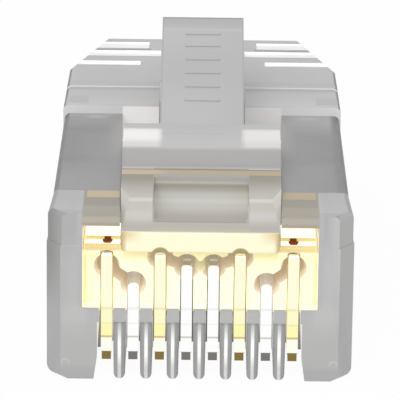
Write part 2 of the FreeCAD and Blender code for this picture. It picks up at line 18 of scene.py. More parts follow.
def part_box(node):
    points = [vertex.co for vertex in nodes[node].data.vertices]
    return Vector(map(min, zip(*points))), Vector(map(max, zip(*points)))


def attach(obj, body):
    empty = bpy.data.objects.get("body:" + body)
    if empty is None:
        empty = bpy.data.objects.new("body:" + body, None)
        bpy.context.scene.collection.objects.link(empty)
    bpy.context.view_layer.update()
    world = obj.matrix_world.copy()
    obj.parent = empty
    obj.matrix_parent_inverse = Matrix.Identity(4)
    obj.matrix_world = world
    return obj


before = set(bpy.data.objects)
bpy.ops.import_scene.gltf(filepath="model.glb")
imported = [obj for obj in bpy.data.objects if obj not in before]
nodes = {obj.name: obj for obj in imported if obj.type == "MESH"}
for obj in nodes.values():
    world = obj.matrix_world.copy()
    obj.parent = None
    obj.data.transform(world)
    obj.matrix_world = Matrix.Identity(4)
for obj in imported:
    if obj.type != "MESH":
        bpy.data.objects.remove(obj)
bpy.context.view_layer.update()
MM = 0.001

low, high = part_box("housing")
NOSE_Y = low.y
print("pieces:", ", ".join(sorted(nodes)))
print("housing is %.2f x %.2f x %.2f mm" % tuple((high - low) / MM))


# %% [markdown]
# ## Camera
#
# The plug is seen from the front, about 20 degrees above the table and close enough for the far end
# to look narrower. A long lens at 150 mm gives that mild perspective. The camera's place is worked
# out from the point it looks at, so that each number can be changed by itself.

# %% Camera
AIM = Vector((-0.04 * MM, NOSE_Y, 7.305 * MM))
ELEVATION = math.radians(19.5)
DISTANCE = 148.66 * MM
ROLL = math.radians(0.70)
LENS = 355.5
SENSOR = 36.0
NEAREST, FARTHEST = 0.01, 10.0

scene = bpy.context.scene
away = Vector((0.0, -math.cos(ELEVATION), math.sin(ELEVATION)))
camera_data = bpy.data.cameras.new("camera")
camera_data.lens = LENS
camera_data.sensor_width = SENSOR
camera_data.clip_start = NEAREST
camera_data.clip_end = FARTHEST
camera = bpy.data.objects.new("camera", camera_data)
scene.collection.objects.link(camera)
turned = away.to_track_quat("Z", "Y").to_matrix().to_4x4() @ Matrix.Rotation(ROLL, 4, "Z")
camera.matrix_world = Matrix.Translation(AIM + away * DISTANCE) @ turned
scene.camera = camera
scene.view_settings.view_transform = "Standard"
print("camera stands %.1f mm in front of the nose" % ((NOSE_Y - camera.location.y) / MM))


# %% [markdown]
# ## Shader sums
#
# Materials are easier to read as sums than as webs of boxes. A Signal holds one socket, and adding
# or multiplying signals adds the Math node that does it, so `1 - mask` works as it reads. Masks are
# signals from 0 to 1, and multiplying two of them leaves what lies in both.

# %% Signal
class Signal:
    """One output socket that can be used in sums."""

    def __init__(self, maker, socket):
        self.maker = maker
        self.socket = socket

    def math(self, operation, *others):
        inputs = dict(enumerate((self,) + others))
        return self.maker.add("ShaderNodeMath", {"operation": operation}, inputs)

    def __add__(self, other):
        return self.math("ADD", other)

    def __mul__(self, other):
        return self.math("MULTIPLY", other)

    def __sub__(self, other):
        return self.math("SUBTRACT", other)

    def __rsub__(self, other):
        return self * -1.0 + other

    __radd__ = __add__
    __rmul__ = __mul__

    def size(self):
        return self.math("ABSOLUTE")

    def or_else(self, other):
        """The larger of two masks."""
        return self.math("MAXIMUM", other)

    def above(self, edge, blur):
        """0 below the edge and 1 above it, with a soft change between."""
        ramp = (self - (edge - blur)) * (0.5 / blur)
        return ramp.math("MAXIMUM", 0.0).math("MINIMUM", 1.0)

    def below(self, edge, blur):
        return 1.0 - self.above(edge, blur)

    def between(self, start, end, blur):
        return self.above(start, blur) * self.below(end, blur)


print("signals add, subtract and multiply")

# %% Nodes
class Nodes:
    """A tree of shader nodes, with short calls that make and link them."""

    def __init__(self, tree):
        self.tree = tree

    def feed(self, socket, value):
        if isinstance(value, Signal):
            self.tree.links.new(value.socket, socket)
        else:
            socket.default_value = value

    def add(self, kind, settings=None, inputs=None, output=0):
        """A node of any kind: its settings first, then the values or links of its sockets."""
        node = self.tree.nodes.new(kind)
        for key, value in (settings or {}).items():
            setattr(node, key, value)
        for key, value in (inputs or {}).items():
            self.feed(node.inputs[key], value)
        return Signal(self, node.outputs[output])

    def blend(self, share, first, second):
        """The first shader where share is 0, the second where it is 1."""
        return self.add("ShaderNodeMixShader", inputs={0: share, 1: first, 2: second})


print("one call makes any node")


# %% [markdown]
# ## Finishes
#
# A Finish is one material. Its short methods are what the patterns below need: where a point is,
# which way its surface faces, some noise, and coats of colour laid over each other by masks. A
# picture painted on the surface could hold the same zones, but it would blur close up. Masks stay
# sharp, and as they are read from the piece itself, a pattern stays on it from every side and when
# the latch moves.

# %% Finish
class Finish(Nodes):
    """A material with a Principled shader and shortcuts to what its patterns need."""

    def __init__(self, name, **constants):
        self.material = bpy.data.materials.new(name)
        self.material.use_nodes = True
        super().__init__(self.material.node_tree)
        self.shader = self.tree.nodes["Principled BSDF"]
        self.paint(**constants)

    def paint(self, **sockets):
        for socket, value in sockets.items():
            self.feed(self.shader.inputs[socket.replace("_", " ")], value)

    def parts(self, vector):
        """The three numbers of a vector."""
        inputs = {0: vector}
        return [self.add("ShaderNodeSeparateXYZ", inputs=inputs, output=axis) for axis in range(3)]

    def place(self):
        """Across, behind the nose and above the foot, in millimetres."""
        across, along, up = self.parts(self.add("ShaderNodeTexCoord", output="Object"))
        return across * (1 / MM), (along - NOSE_Y) * (1 / MM), up * (1 / MM)

    def facing(self):
        """Which way the surface faces, as three signals from -1 to 1."""
        return self.parts(self.add("ShaderNodeTexCoord", output="Normal"))

    def noise(self, scale_per_mm, detail=2.0):
        spot = self.add("ShaderNodeTexCoord", output="Object")
        inputs = {"Vector": spot, "Scale": scale_per_mm / MM, "Detail": detail}
        return self.add("ShaderNodeTexNoise", inputs=inputs, output="Fac")

    def mix(self, share, first, second):
        """The first colour where share is 0, the second where it is 1."""
        inputs = {0: share, 6: first, 7: second}
        return self.add("ShaderNodeMix", {"data_type": "RGBA"}, inputs, output=2)

    def coats(self, colour, *coats):
        """A colour with coats over it, each of them a mask and a colour."""
        for mask, coat in coats:
            colour = self.mix(mask, colour, coat)
        return colour

    def shade(self, colour, factor):
        """A colour made darker or lighter by a signal."""
        start = colour if isinstance(colour, Signal) else colour[:3]
        inputs = {"Vector": start, "Scale": factor}
        return self.add("ShaderNodeVectorMath", {"operation": "SCALE"}, inputs)

    def bump(self, height, distance_mm, strength):
        inputs = {"Height": height, "Distance": distance_mm * MM, "Strength": strength}
        self.paint(Normal=self.add("ShaderNodeBump", inputs=inputs))

    def coat_node(self, name):
        """Give this finish to one of the ready-made pieces."""
        slots = nodes[name].data.materials
        slots.clear()
        slots.append(self.material)


print("a finish knows place, facing and noise")

# %% Colours
def screen(red, green, blue):
    """The linear colour that a screen shows at these levels from 0 to 255."""
    levels = [level / 255 for level in (red, green, blue)]
    linear = [((level + 0.055) / 1.055) ** 2.4 for level in levels]
    return (linear[0], linear[1], linear[2], 1.0)


def even(level, warmth=0):
    """A grey that can lean to warm or, below zero, to cool."""
    return screen(level + warmth, level, level - warmth)


WHITE = screen(255, 255, 255)
print("white is", [round(part, 2) for part in WHITE])

# %% Clear plastic
PLASTIC_IOR = 1.45
BACK_ALPHA = 0.76
SHOWN_ALPHA = 0.97
PLASTIC_ROUGHNESS = 0.30


def clear_plastic(finish, color, painted_glow, grain_per_mm):
    """Lets a small part of the light through, and less on faces that look up or forward. The glow
    is painted light that the surface gives off.
    """
    _, face_y, face_z = finish.facing()
    shown = face_z.above(0.1, 0.05).or_else(face_y.below(-0.1, 0.05))
    finish.paint(
        Base_Color=color,
        Emission_Color=finish.shade(color, painted_glow),
        Alpha=shown * (SHOWN_ALPHA - BACK_ALPHA) + BACK_ALPHA,
        Roughness=finish.noise(grain_per_mm) * 0.12 + PLASTIC_ROUGHNESS,
    )
    print("%s has %d shader nodes" % (finish.material.name, len(finish.tree.nodes)))


print("clear plastic covers %.0f%% of what is behind it" % (BACK_ALPHA * 100))


# %% [markdown]
# ## Housing
#
# The real housing is clear polycarbonate, but a small moulding with so many walls behind each
# other does not look like a pane of glass: it looks milky grey, darker on the long shoulders and
# lighter at the nose. A glass shader would have to trace all those walls, slowly and with grain in
# the picture. So this shader lets only a small part of the light through, and the light and shade
# of the plastic are painted into a base colour in soft zones: painted shade, painted highlights and
# painted glimpses of the load bar inside. Each zone is a mask made of depth, height and the way a
# surface faces. Walls in deep gaps get a painted glow, which stands in for the light that comes to
# them through the plastic.

# %% Housing zones
clear = Finish("clear_housing", IOR=PLASTIC_IOR, Emission_Strength=1.0)
across, depth, height = clear.place()
off_middle = across.size()
face_x, face_y, face_z = clear.facing()
up = face_z.above(0.85, 0.08)
front = face_y.below(-0.8, 0.1)
side_wall = face_x.size().above(0.9, 0.05)
left = across.below(0.0, 0.1)
right = across.above(0.0, 0.1)

SHOULDER_HEIGHT = 6.55
SHOULDER_END = 12.1
RIDGE_AT = 14.48
WINDOW_EDGE = 4.47
WINDOW_FOOT = 2.7
WINDOW_TOP = 6.2
WING_END = 2.74
CHANNEL_EDGE = 3.22
TAB_EDGE = 1.6
COMB_EDGE = 3.7
COMB_TOP = 2.33

roof = up * height.above(SHOULDER_HEIGHT, 0.05)
shoulder = roof * depth.below(SHOULDER_END - 0.03, 0.03)
rear_roof = roof * depth.above(SHOULDER_END + 0.03, 0.03)
rear_face = front * depth.above(11.5, 0.2)
ridge_face = face_y.below(-0.5, 0.1) * depth.between(14.3, 14.8, 0.05)
wing = off_middle.below(WINDOW_EDGE, 0.04)
wing_roof = shoulder * depth.below(WING_END - 0.04, 0.04) * wing
wing_face = front * wing * height.above(WINDOW_TOP, 0.02) * depth.below(1.0, 0.1)
nose = front * depth.below(0.9, 0.1)
bevel = face_y.between(-0.9, -0.2, 0.04) * depth.below(0.95, 0.1) * off_middle.above(5.2, 0.05)
rounded = face_x.size().above(0.2, 0.12) * face_z.above(0.1, 0.05) * height.above(6.2, 0.2)
print("the shoulders end %.1f mm behind the nose" % SHOULDER_END)

# %% Shoulders and wings
# The warm band on the wing roofs is a painted reflection of the load bar inside them.
wing_bar_reflection = wing_roof * depth.between(1.90, 2.68, 0.04)
wing_bar_reflection = wing_bar_reflection * off_middle.below(WINDOW_EDGE - 0.11, 0.04)
waist = shoulder * depth.below(4.9, 0.6)
rounded_behind = rounded * depth.above(WING_END, 0.1)
# Painted light and shade on the shoulders: grey bands that lighten towards the back and the nose,
# the left waist lit lighter than the right, a small painted highlight near the step, painted shade
# on the outer band and the rounded edges, and a painted dark line where the wing roofs end.
shoulders = (
    (shoulder, even(134)),
    (shoulder * (depth + across * 0.08).above(10.8, 1.0), even(172)),
    (shoulder * depth.between(6.1, 7.0, 0.4), even(131)),
    (shoulder * depth.below(5.9, 0.3), even(140)),
    (waist * left, even(150)),
    (waist * right, even(138)),
    (shoulder * off_middle.below(4.2, 0.9) * depth.below(10.0, 0.8), even(149)),
    (shoulder * off_middle.below(3.55, 0.25) * depth.above(7.0, 0.6), even(160)),
    (shoulder * depth.below(WING_END, 0.05), even(178)),
    (shoulder * depth.below(1.3, 0.3), even(182)),
    (shoulder * depth.below(0.40, 0.08), even(174)),
    (wing_roof, screen(150, 144, 132)),
    (wing_bar_reflection, screen(196, 178, 144)),
    (wing_bar_reflection * right, screen(184, 167, 134)),
    (wing_roof * depth.below(0.95, 0.12), screen(163, 157, 144)),
    (shoulder * depth.between(2.69, 2.79, 0.02), even(144)),
    (shoulder * depth.between(11.5, 11.85, 0.12) * off_middle.between(3.9, 4.6, 0.2), even(186)),
    (shoulder * across.above(5.22, 0.1) * depth.above(WING_END, 0.1), even(124)),
    (rounded_behind, even(115)),
    (rounded_behind * face_x.size().above(0.5, 0.1), even(92)),
    (rounded * depth.below(WING_END, 0.1), even(150)),
)
print("%d coats on the shoulders" % len(shoulders))

# %% Nose
bevel_top = bevel * height.above(3.9, 1.2)
# Painted light and shade on the nose: darker at the top and near the floor, lighter on the right
# block than on the left, a darker strip beside each window and painted shade on the bevels, darkest
# high on the left. The warm tones on the faces above the windows are a painted image of the load
# bar behind them, and the faint line at 5.4 mm is the mould's parting line.
nose_shading = (
    (nose, even(180)),
    (nose * height.above(5.3, 0.6), even(172)),
    (nose * height.between(2.1, 3.1, 0.3), even(184)),
    (nose * height.below(2.0, 0.5), even(175)),
    (nose * height.below(0.5, 0.1), even(168)),
    (nose * across.above(4.9, 0.2) * height.above(3.6, 0.8), even(187)),
    (nose * off_middle.below(4.3, 0.1) * height.between(2.0, 3.2, 0.05), even(177)),
    (nose * height.between(5.37, 5.42, 0.02) * off_middle.above(4.6, 0.05), even(182)),
    (nose * off_middle.between(WINDOW_EDGE - 0.1, 4.66, 0.05) * height.above(3.0, 0.1), even(177)),
    (wing_face, screen(165, 159, 147)),
    (wing_face * height.between(6.32, 6.60, 0.05), screen(178, 172, 160)),
    (wing_face * height.below(6.34, 0.04), screen(172, 159, 138)),
    (bevel * right, even(174)),
    (bevel * left, even(168)),
    (bevel_top * left, even(156)),
    (bevel_top * across.below(-5.5, 0.2), even(138)),
)
print("%d coats on the nose" % len(nose_shading))

# %% Rear roof
corner_cut = face_x.size().between(0.5, 0.8, 0.05) * face_y.above(0.1, 0.05)
corner_cut = corner_cut * depth.above(16.5, 0.1)
step = rear_face * height.below(7.0, 0.03)
# Painted light and shade on the rear roof: lighter just behind the step, a darker band before the
# ridge, a painted highlight on the ridge's front face, the step's front faces painted light and
# brighter left of the tab than right, lighter upward faces low in the channel, a painted dark line
# between the grooves, and painted shade on the cut corners, darker on the right.
rear_roof_shading = (
    (rear_roof, even(187)),
    (rear_roof * depth.below(13.6, 0.8), even(194)),
    (rear_roof * depth.between(12.1, 12.6, 0.3), even(199)),
    (rear_roof * depth.between(14.1, RIDGE_AT - 0.02, 0.1), even(176)),
    (rear_roof * depth.between(14.7, 15.2, 0.15), even(182)),
    (rear_roof * depth.above(21.1, 0.1), even(184)),
    (rear_face, even(208)),
    (ridge_face, even(226)),
    (step * across.between(-CHANNEL_EDGE, -TAB_EDGE, 0.02), even(222, 2)),
    (step * across.between(TAB_EDGE, CHANNEL_EDGE, 0.02), even(202, 1)),
    (up * height.between(6.0, 6.3, 0.05) * depth.below(15.4, 0.1), even(215)),
    (up * height.between(5.5, 5.65, 0.03), even(196)),
    (rear_roof * depth.between(19.72, 20.04, 0.03) * off_middle.above(2.2, 0.05), even(150)),
    (rear_roof * depth.between(12.35, 13.3, 0.1) * off_middle.above(4.62, 0.04), even(183)),
    (corner_cut, even(138)),
    (corner_cut * right, even(112)),
)
print("%d coats on the rear roof" % len(rear_roof_shading))

# %% Grip grooves
GROOVES = ((17.54, 18.14, 2.60), (18.89, 19.70, 1.76), (20.06, 20.96, 2.28))
GROOVE_FLOOR = 6.80
# The floors and back walls of the grip grooves are painted near white, as painted light shining
# through the plastic there, and the roof just in front of each groove is painted darker as shade.
grooves = []
for start, end, inner in GROOVES:
    groove = depth.between(start - 0.02, end + 0.02, 0.01) * off_middle.above(inner - 0.02, 0.02)
    grooves.append((groove * height.between(GROOVE_FLOOR, GROOVE_FLOOR + 0.15, 0.01), even(250)))
    grooves.append((front * groove * height.above(GROOVE_FLOOR, 0.02), even(252)))
    lip = roof * depth.between(start - 0.12, start, 0.03) * off_middle.above(inner, 0.05)
    grooves.append((lip, even(176)))
print("%d coats on %d pairs of grooves" % (len(grooves), len(GROOVES)))

# %% Ribs and marks
GATE_MARK_X = 5.12
GATE_MARK_Z = 0.66
comb = height.below(COMB_TOP, 0.02) * off_middle.below(COMB_EDGE, 0.02) * depth.below(1.6, 0.05)
ribs = comb * face_y.below(-0.05, 0.05)
rib_highlight = ribs * face_y.below(-0.982, 0.008)
# Painted light and shade on the ribs: grey sides and a bright painted highlight down each rounded
# front, strongest half way up.
marks = [
    (ribs, even(149)),
    (ribs * face_x.size().below(0.8, 0.1), even(157)),
    (rib_highlight * height.below(2.25, 0.3), even(212)),
    (rib_highlight * height.between(0.75, 1.75, 0.25), even(255)),
]
# Two small ring marks on the nose, painted light on their upper halves only, as a painted highlight
# where their rims catch the light.
for side in (-1, 1):
    x = across - side * GATE_MARK_X
    z = height - GATE_MARK_Z
    ring = (x * x + z * z).between(0.014, 0.030, 0.008) * z.above(-0.02, 0.08)
    marks.append((nose * ring, even(192)))
print("%d coats on the ribs and marks" % len(marks))

# %% Housing colour
# A grey base, painted a little lighter on upward faces, under all the zones; the noise varies the
# tone at random.
color = clear.coats(even(184), (up, even(188)), *shoulders, *nose_shading, *rear_roof_shading, *grooves, *marks)
color = clear.shade(color, clear.noise(0.35) * 0.05 + 0.98)
print("%d shader nodes for the housing's colour" % len(clear.tree.nodes))

# %% Housing walls and painted glow
channel_wall = side_wall * off_middle.below(CHANNEL_EDGE + 0.08, 0.02) * height.above(5.2, 0.1)
under_tab = rear_face * off_middle.below(CHANNEL_EDGE, 0.03) * height.below(7.02, 0.02)
frame_inside = off_middle.below(WINDOW_EDGE + 0.01, 0.02) * depth.between(0.02, 0.7, 0.02)
frame_inside = frame_inside * height.between(WINDOW_FOOT, WINDOW_TOP, 0.02)
rim = frame_inside * depth.below(0.07, 0.03)
low_wall = side_wall * height.below(2.9, 0.05)
pocket_wall = low_wall * off_middle.between(COMB_EDGE, COMB_EDGE + 0.5, 0.02)
slot_wall = low_wall * off_middle.below(COMB_EDGE, 0.02)
bar_wall = side_wall * off_middle.between(4.3, 4.6, 0.02)
bar_wall = bar_wall * depth.above(0.5, 0.05) * height.below(5.6, 0.1)
# The inner walls of the window frame and the walls beside the load bar are painted in the bar's
# cream and gold as a painted reflection of the bar, with a gold painted line at the frame's rim,
# and the pocket walls are painted light.
color = clear.coats(
    color,
    (frame_inside, screen(254, 248, 212)),
    (rim, screen(222, 198, 128)),
    (bar_wall, screen(238, 214, 150)),
    (pocket_wall, even(188)),
)
# Painted glow: walls in the channel, under the tab, behind the step, inside the window, beside the
# bar, in the pocket and between the slots give off light of their own, in place of the light that
# comes to them through the plastic.
painted_glow = channel_wall * 0.30 + under_tab * 0.20 + rear_face * 0.16 + frame_inside * 0.40
painted_glow = painted_glow + bar_wall * 0.40 + pocket_wall * 0.75 + slot_wall * 0.25
clear_plastic(clear, color, painted_glow, grain_per_mm=1.2)
clear.coat_node("housing")


# %% [markdown]
# ## Latch
#
# The latch is the same plastic, moulded in one with the housing and bent at its root. Its light
# and shade are painted too: the thick block behind the brow carries two painted highlights beside
# the tab, a warm painted line crosses the ledge where the load bar would show through, the scoop
# and brow carry painted shade, and the lip in front of the bar is painted in the bar's cream, as
# the bar shows through it. It could share the housing's finish, but it moves, so its zones are
# measured on the latch itself.

# %% Latch zones
hazed = Finish("clear_latch", IOR=PLASTIC_IOR, Emission_Strength=1.0)
across, depth, height = hazed.place()
off_middle = across.size()
face_x, face_y, face_z = hazed.facing()
up = face_z.above(0.75, 0.1)
front = face_y.below(-0.6, 0.2)
left = across.below(0.0, 0.1)
right = across.above(0.0, 0.1)

BLOCK_START = 4.10
BLOCK_END = 7.2
BLOCK_FOOT = 7.14
LEDGE_START = 3.47
SCOOP_EDGE = 1.83
LIP_TOP = 5.97
block = depth.between(BLOCK_START, BLOCK_END, 0.03) * height.above(BLOCK_FOOT, 0.01)
block_top = block * up * height.above(7.8, 0.05)
# Painted highlights on the block's top, beside the tab.
block_highlight = block_top * off_middle.above(1.62, 0.12) * depth.between(4.4, 6.55, 0.12)
brow = depth.below(BLOCK_START, 0.02) * height.above(LIP_TOP, 0.03)
sides = brow * off_middle.above(SCOOP_EDGE, 0.02)
scoop = brow * off_middle.below(SCOOP_EDGE, 0.02)
scoop_floor = scoop * height.below(6.5, 0.08)
slope = sides * face_z.below(0.93, 0.03)
corner = brow * face_x.size().above(0.3, 0.1) * face_z.above(0.15, 0.05)
lip = height.below(LIP_TOP, 0.03) * depth.below(0.7, 0.05)
tab = depth.above(BLOCK_END, 0.02)
print("the block is %.1f mm long" % (BLOCK_END - BLOCK_START))

# %% Block and tab
block_highlight_end = block_highlight * depth.between(5.1, 6.5, 0.3)
tab_top = tab * up
# Painted light and shade on the block and tab: painted highlights beside the tab, brighter on the
# left, a darker front face, the tab darker on its right, at its far end and along its edges, and a
# thin painted highlight across it near the end.
block_and_tab_shading = (
    (block_top, even(190)),
    (block_top * depth.below(5.9, 0.8), even(195)),
    (block_highlight, even(224, 2)),
    (block_highlight_end * left, even(250, 1)),
    (block_highlight_end * right, even(236, 1)),
    (block * front, even(175)),
    (block * front * height.below(7.35, 0.1), even(172)),
    (tab, even(191)),
    (tab * across.above(0.8, 0.6), even(187)),
    (tab_top * depth.between(9.6, 12.2, 0.8), even(186)),
    (tab_top * depth.above(14.0, 0.25), even(179)),
    (tab_top * depth.between(13.68, 13.84, 0.05), even(194)),
    (tab * depth.above(14.46, 0.02), even(160)),
    (tab_top * off_middle.above(1.60, 0.02), even(174)),
    (tab * front, even(172)),
    (tab * face_x.size().above(0.5, 0.1), even(178)),
)
print("%d coats on the block and tab" % len(block_and_tab_shading))

# %% Brow and scoop
ledge = brow * up * depth.between(LEDGE_START, LEDGE_START + 0.5, 0.03)
side_tops = sides * up
# Painted light and shade on the brow and scoop: a darker strip before the block, a warm painted
# line on the ledge where the load bar would show through, tops and slopes that lighten towards a
# painted highlight on the brow's edge, a right corner painted brighter than the left, and painted
# shade in the scoop, darkest below its back edge and lighter on its floor.
brow_and_scoop_shading = (
    (brow, even(190, 3)),
    (brow * up * depth.above(3.95, 0.03), screen(158, 152, 142)),
    (ledge, screen(200, 183, 150)),
    (ledge * across.below(-1.5, 0.3), screen(212, 196, 164)),
    (side_tops * depth.below(LEDGE_START, 0.03), screen(161, 157, 147)),
    (side_tops * depth.below(2.45, 0.5), screen(186, 181, 171)),
    (side_tops * depth.below(1.6, 0.4), screen(197, 193, 183)),
    (slope, screen(188, 184, 175)),
    (slope * height.above(6.92, 0.05), screen(208, 205, 198)),
    (slope * height.between(6.38, 6.62, 0.1), screen(195, 193, 187)),
    (slope * height.below(6.25, 0.1), screen(174, 169, 163)),
    (corner * left, screen(190, 187, 181)),
    (corner * right, screen(208, 205, 198)),
    (scoop * height.above(6.93, 0.02) * depth.below(3.53, 0.03), screen(180, 180, 181)),
    (scoop * height.below(6.95, 0.02), screen(156, 153, 148)),
    (scoop * height.below(6.86, 0.03), screen(151, 143, 127)),
    (scoop * height.below(6.73, 0.04), screen(170, 165, 155)),
    (scoop * height.below(6.64, 0.05), screen(198, 196, 190)),
    (scoop_floor, screen(206, 204, 198)),
    (scoop_floor * depth.below(1.55, 0.3), screen(186, 182, 175)),
    (scoop_floor * depth.below(1.1, 0.2), screen(178, 173, 164)),
    (scoop_floor * depth.below(0.5, 0.15), screen(170, 165, 155)),
    (scoop * front, screen(174, 171, 164)),
    (scoop * front * height.below(6.10, 0.04), screen(184, 174, 157)),
)
print("%d coats on the brow and scoop" % len(brow_and_scoop_shading))

# %% Lip
# The clear lip is painted in the load bar's cream, warmer at its ends, as a painted image of the
# bar behind it, with two dark half-discs where the bar's holes for blades 3 and 6 would show
# through.
SEEN_HOLE_X = 1.52
SEEN_HOLE_Z = 5.02
lip_bar_showing_through = [
    (lip, screen(255, 250, 216)),
    (lip * off_middle.above(2.45, 0.3) * height.above(5.7, 0.25), screen(228, 208, 156)),
    (lip * off_middle.above(2.86, 0.08), screen(208, 186, 140)),
]
for side in (-1, 1):
    x = across - side * SEEN_HOLE_X
    z = height - SEEN_HOLE_Z
    lip_bar_showing_through.append((lip * (x * x + z * z).below(0.12, 0.02), screen(166, 156, 104)))
print("%d coats on the lip" % len(lip_bar_showing_through))

# %% Latch colour
color = hazed.coats(even(188), *block_and_tab_shading, *brow_and_scoop_shading, *lip_bar_showing_through)
color = hazed.shade(color, hazed.noise(0.5) * 0.04 + 0.98)
# Painted glow on the latch's side walls and brow corners, in place of the light that comes to them
# through the plastic.
painted_glow = face_x.size().above(0.9, 0.05) * 0.25 + corner * 0.22
clear_plastic(hazed, color, painted_glow, grain_per_mm=1.5)
hazed.coat_node("latch")


# %% [markdown]
# ## Grip lines
#
# The tab is pressed with a fingertip, so it has six fine raised lines across it. A bump pattern
# would do from far away, but real edges also catch the light from the side. Each line is a small
# bar with rounded edges that sits a little way into the tab's top face. The tab slopes, so the face
# is found by casting a ray down onto the latch at each line.

# %% Grip lines
GRIP_AT = (8.80, 9.75, 10.70, 11.65, 12.60, 13.45)
GRIP_WIDTH = 1.40
GRIP_LENGTH = 0.14
GRIP_RISE = 0.05
GRIP_ROOT = 0.06
GRIP_ROUND = 0.03
ABOVE_ALL = 1.0


def latch_top(depth_mm):
    """A point of the latch's top face on the middle line, and the way that the face looks."""
    start = Vector((0.0, NOSE_Y + depth_mm * MM, ABOVE_ALL))
    found, point, normal, _ = nodes["latch"].ray_cast(start, Vector((0.0, 0.0, -1.0)))
    assert found, "the latch has no face at this depth"
    return point, normal


print("the tab is %.2f mm high at its first line" % (latch_top(GRIP_AT[0])[0].z / MM))

# %% One bar for each line
lines = bmesh.new()
for at in GRIP_AT:
    point, normal = latch_top(at)
    bar = bmesh.new()
    bmesh.ops.create_cube(bar, size=1.0)
    size = Vector((GRIP_WIDTH, GRIP_LENGTH, GRIP_RISE + GRIP_ROOT)) * MM
    bmesh.ops.scale(bar, vec=size, verts=bar.verts)
    top_edges = [edge for edge in bar.edges if all(vert.co.z > 0 for vert in edge.verts)]
    bmesh.ops.bevel(
        bar,
        geom=top_edges,
        offset=GRIP_ROUND * MM,
        segments=3,
        profile=0.5,
        affect="EDGES",
        material=-1,
    )
    tilt = math.atan2(normal.y, normal.z)
    place = Matrix.Translation(point + normal * (GRIP_RISE - GRIP_ROOT) / 2 * MM)
    bmesh.ops.transform(bar, matrix=place @ Matrix.Rotation(-tilt, 4, "X"), verts=bar.verts)
    part = bpy.data.meshes.new("one_line")
    bar.to_mesh(part)
    bar.free()
    lines.from_mesh(part)
    bpy.data.meshes.remove(part)
print("%d bars made" % len(GRIP_AT))

# %% The lines on the tab
mesh = bpy.data.meshes.new("grip_lines")
lines.to_mesh(mesh)
lines.free()
for face in mesh.polygons:
    face.use_smooth = False
grip_lines = bpy.data.objects.new("grip_lines", mesh)
grip_lines.data.materials.append(hazed.material)
scene.collection.objects.link(grip_lines)
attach(grip_lines, "latch_arm")
print("%d grip lines with %d faces" % (len(GRIP_AT), len(mesh.polygons)))


# %% [markdown]
# ## Load bar
#
# The load bar leads the wires to the blades. It is a cream plastic that glows in the light from all
# sides. Subsurface light would show that, but slowly in a piece this small, so a faint glow of its
# own colour takes its place. Its holes and slots are in shade, so their walls are painted darker,
# with a deep brown in the two test holes on top.

# %% Load bar zones
cream = Finish("cream_bar", IOR=PLASTIC_IOR, Emission_Strength=1.0)
across, depth, height = cream.place()
off_middle = across.size()
face_x, face_y, face_z = cream.facing()
up = face_z.above(0.6, 0.1)

PITCH = 1.016
FACE_DEPTH = 0.64
GLOW_EDGE = 4.3
STEP_START, STEP_END = 0.85, 1.40
GROOVE_START, GROOVE_END = 1.90, 2.26
bar_face = face_y.below(-0.8, 0.1) * depth.below(FACE_DEPTH, 0.02)
top = height.above(4.82, 0.01) * off_middle.above(2.95, 0.02)
wall = face_y.size().below(0.5, 0.2) * depth.between(FACE_DEPTH - 0.02, 6.5, 0.02)
inside = wall * height.between(3.15, 5.15, 0.03) * face_z.size().below(0.985, 0.01)
print("the bar's groove is %.2f mm long" % (GROOVE_END - GROOVE_START))

# %% Test holes
HOLE_AT = 1.8
HOLE_RADIUS = 0.20
SPOT_AT = 1.86
SPOT_WIDTH, SPOT_LENGTH = 0.17, 0.38
BROWN = screen(140, 66, 30)
AMBER = screen(214, 160, 92)
hole_x = off_middle - 3.5 * PITCH
hole_y = depth - HOLE_AT
test_hole = (hole_x * hole_x + hole_y * hole_y).below(HOLE_RADIUS ** 2, 0.004)
test_hole = test_hole * height.between(4.2, 5.01, 0.01)
across_spot = hole_x * (1 / SPOT_WIDTH)
along_spot = (depth - SPOT_AT) * (1 / SPOT_LENGTH)
spot = across_spot.math("POWER", 4.0) + along_spot.math("POWER", 4.0)
print("the test holes are %.2f mm from the middle" % (3.5 * PITCH))

# %% Load bar colour
# The cream is the bar's own colour. Painted shade gives warmer, darker tones in the groove and at
# the step across the top and darker walls inside the holes and slots, and the front face is warmer
# towards its upper edge and its ends. The top faces are painted paler. The brown in the test holes
# is the copper of the tines inside them.
color = cream.coats(
    screen(255, 252, 222),
    (bar_face, screen(255, 251, 216)),
    (bar_face * height.above(4.72, 0.12), screen(253, 243, 188)),
    (bar_face * off_middle.above(GLOW_EDGE + 0.03, 0.03), screen(246, 236, 188)),
    (top * up, screen(255, 254, 240)),
    (top * depth.between(GROOVE_START, GROOVE_END, 0.04), screen(246, 230, 158)),
    (top * depth.between(STEP_START, STEP_END, 0.03), screen(236, 220, 170)),
    (top * depth.below(STEP_START, 0.03), screen(252, 240, 192)),
    (inside, screen(233, 220, 199)),
    (test_hole, BROWN),
    (test_hole * height.below(4.95, 0.02) * hole_x.size().below(0.09, 0.03), AMBER),
    (top * spot.below(1.0, 0.2), screen(158, 84, 32)),
    (top * spot.below(0.15, 0.1) * depth.below(SPOT_AT - 0.01, 0.08), AMBER),
)
color = cream.shade(color, cream.noise(0.8) * 0.04 + 0.98)
# Painted glow: beyond the faint glow all over, the plain parts of the top and the bar's end faces
# give off more light, as painted light where the housing shades them.
plain = depth.between(STEP_END, GROOVE_START, 0.03) + depth.above(GROOVE_END, 0.04)
bar_side = face_x.size().above(0.9, 0.05) * off_middle.above(GLOW_EDGE, 0.03)
painted_glow = 0.12 + top * spot.above(1.0, 0.2) * (plain * 0.5 + 0.22) + bar_side * 0.4
cream.paint(Base_Color=color, Emission_Color=cream.shade(color, painted_glow))
cream.paint(Roughness=cream.noise(3.0) * 0.1 + 0.3)
cream.coat_node("load_bar")
print("cream_bar has %d shader nodes" % len(cream.tree.nodes))


